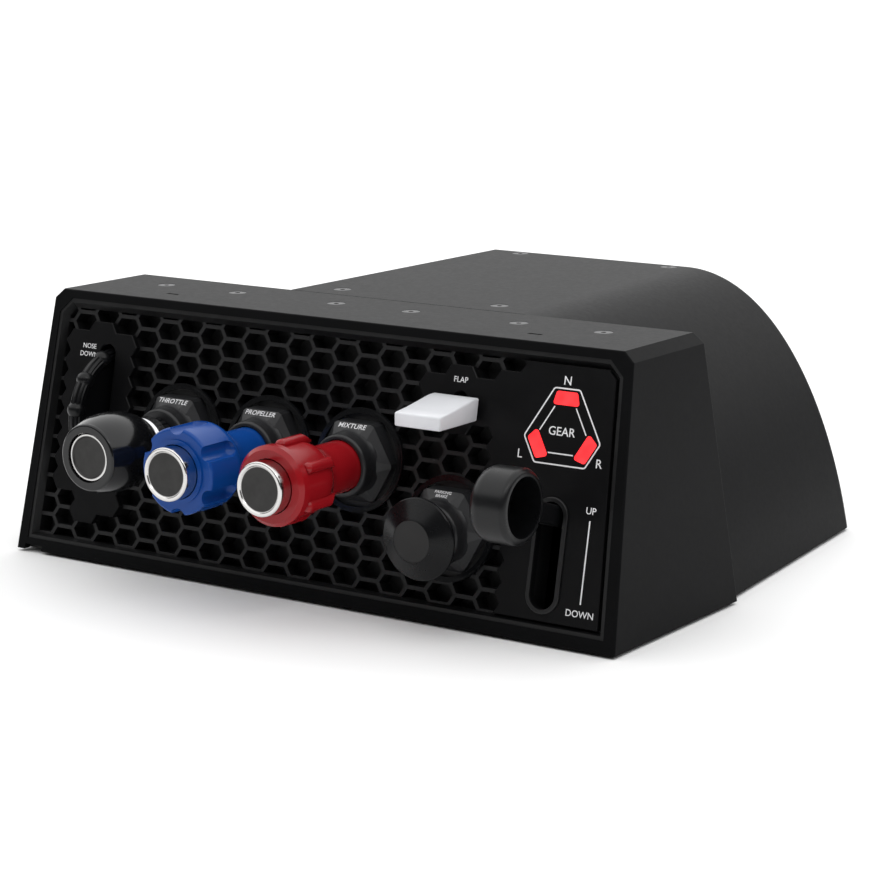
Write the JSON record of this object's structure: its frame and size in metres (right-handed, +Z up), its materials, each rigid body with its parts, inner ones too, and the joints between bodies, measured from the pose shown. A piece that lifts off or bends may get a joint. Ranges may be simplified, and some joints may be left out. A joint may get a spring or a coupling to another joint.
{
  "type": "throttle quadrant",
  "caption": "Desktop flight control quadrant: push-pull throttle, propeller, mixture and parking brake, trim wheel, flap paddle and gear lever in a leaning hexagonal-cell panel.",
  "frame": {"origin": "on the desk plane, on the width's middle plane, under the middle of the front foot strip (15 mm behind the foot of the front face)", "axes": "+X to the right as seen from the front, +Y to the back, away from the knobs, +Z up"},
  "size_m": [0.332, 0.3291, 0.1252],
  "materials": {
    "housing": "fine matte texture",
    "base": "matte",
    "feet": "matte",
    "frame": "satin",
    "panel": "matte",
    "legend_plate": "satin",
    "lamp_red": "lit lens",
    "screw": "blackened",
    "steel": "turned",
    "ring": "gloss",
    "bushing": "satin",
    "knob_black": "gloss",
    "knob_blue": "gloss",
    "knob_red": "gloss",
    "silver": "polished rim, satin face",
    "knob_grey": "satin",
    "paddle_white": "satin",
    "lever_black": "satin"
  },
  "bodies": {
    "base": {"front_housing": "housing", "rear_housing": "housing", "base_plate": "base", "rear_base_plate": "base", "rubber_feet": "feet", "bezel_frame": "frame", "control_panel": "panel", "trim_plate": "legend_plate", "gear_plate": "legend_plate", "gear_slot_rim": "frame", "gear_lamps": "lamp_red", "top_screws": "screw", "rear_screws": "screw", "data_inlet": "steel", "panel_nuts": "steel", "throttle_ring": "ring", "throttle_bushing": "bushing", "propeller_ring": "ring", "propeller_bushing": "bushing", "mixture_ring": "ring", "mixture_bushing": "bushing", "brake_ring": "ring", "brake_bushing": "bushing", "trim_bracket": "steel", "flap_bracket": "steel", "gear_bracket": "steel"},
    "throttle": {"throttle_shaft": "steel", "throttle_knob": "knob_black", "friction_collar": "silver"},
    "throttle_button": {"throttle_button": "silver"},
    "throttle_friction": {"friction_nut": "knob_black"},
    "propeller": {"propeller_shaft": "steel"},
    "propeller_knob": {"propeller_knob": "knob_blue"},
    "propeller_button": {"propeller_button": "silver"},
    "mixture": {"mixture_shaft": "steel"},
    "mixture_knob": {"mixture_knob": "knob_red"},
    "mixture_button": {"mixture_button": "silver"},
    "parking_brake": {"brake_shaft": "steel", "brake_knob": "knob_black", "brake_cap": "knob_grey"},
    "trim_wheel": {"trim_wheel": "knob_black"},
    "flap_lever": {"flap_arm": "lever_black", "flap_paddle": "paddle_white"},
    "gear_lever": {"gear_arm": "lever_black", "gear_knob": "knob_black"}
  },
  "joints": [
    {"name": "throttle_slide", "type": "slide", "parent": "base", "child": "throttle", "axis": [0, 1, 0], "range_m": [-0.05, 0]},
    {"name": "throttle_button_press", "type": "slide", "parent": "throttle", "child": "throttle_button", "axis": [0, 1, 0], "range_m": [0, 0.0025], "stiffness_N_per_m": 400},
    {"name": "throttle_friction_turn", "type": "hinge", "parent": "base", "child": "throttle_friction", "pos_m": [-0.0762, -0.01757, 0.06485], "axis": [0, 1, 0], "range_deg": [-120, 120]},
    {"name": "propeller_slide", "type": "slide", "parent": "base", "child": "propeller", "axis": [0, 1, 0], "range_m": [-0.05, 0]},
    {"name": "propeller_twist", "type": "hinge", "parent": "propeller", "child": "propeller_knob", "pos_m": [-0.0254, -0.04357, 0.06485], "axis": [0, 1, 0], "continuous": true},
    {"name": "propeller_button_press", "type": "slide", "parent": "propeller_knob", "child": "propeller_button", "axis": [0, 1, 0], "range_m": [0, 0.0025], "stiffness_N_per_m": 400},
    {"name": "mixture_slide", "type": "slide", "parent": "base", "child": "mixture", "axis": [0, 1, 0], "range_m": [-0.05, 0]},
    {"name": "mixture_twist", "type": "hinge", "parent": "mixture", "child": "mixture_knob", "pos_m": [0.0254, -0.04357, 0.06485], "axis": [0, 1, 0], "continuous": true},
    {"name": "mixture_button_press", "type": "slide", "parent": "mixture_knob", "child": "mixture_button", "axis": [0, 1, 0], "range_m": [0, 0.0025], "stiffness_N_per_m": 400},
    {"name": "parking_brake_slide", "type": "slide", "parent": "base", "child": "parking_brake", "axis": [0, 1, 0], "range_m": [-0.03, 0]},
    {"name": "trim_wheel_spin", "type": "hinge", "parent": "base", "child": "trim_wheel", "pos_m": [-0.1236, 0.01014, 0.0676], "axis": [1, 0, 0], "continuous": true},
    {"name": "flap_swing", "type": "hinge", "parent": "base", "child": "flap_lever", "pos_m": [0.0758, 0.02331, 0.09627], "axis": [1, 0, 0], "range_deg": [-7, 7], "stiffness_Nm_per_rad": 0.3},
    {"name": "gear_swing", "type": "hinge", "parent": "base", "child": "gear_lever", "pos_m": [0.128, 0.05329, 0.0371], "axis": [1, 0, 0], "range_deg": [0, 28.4]}
  ]
}
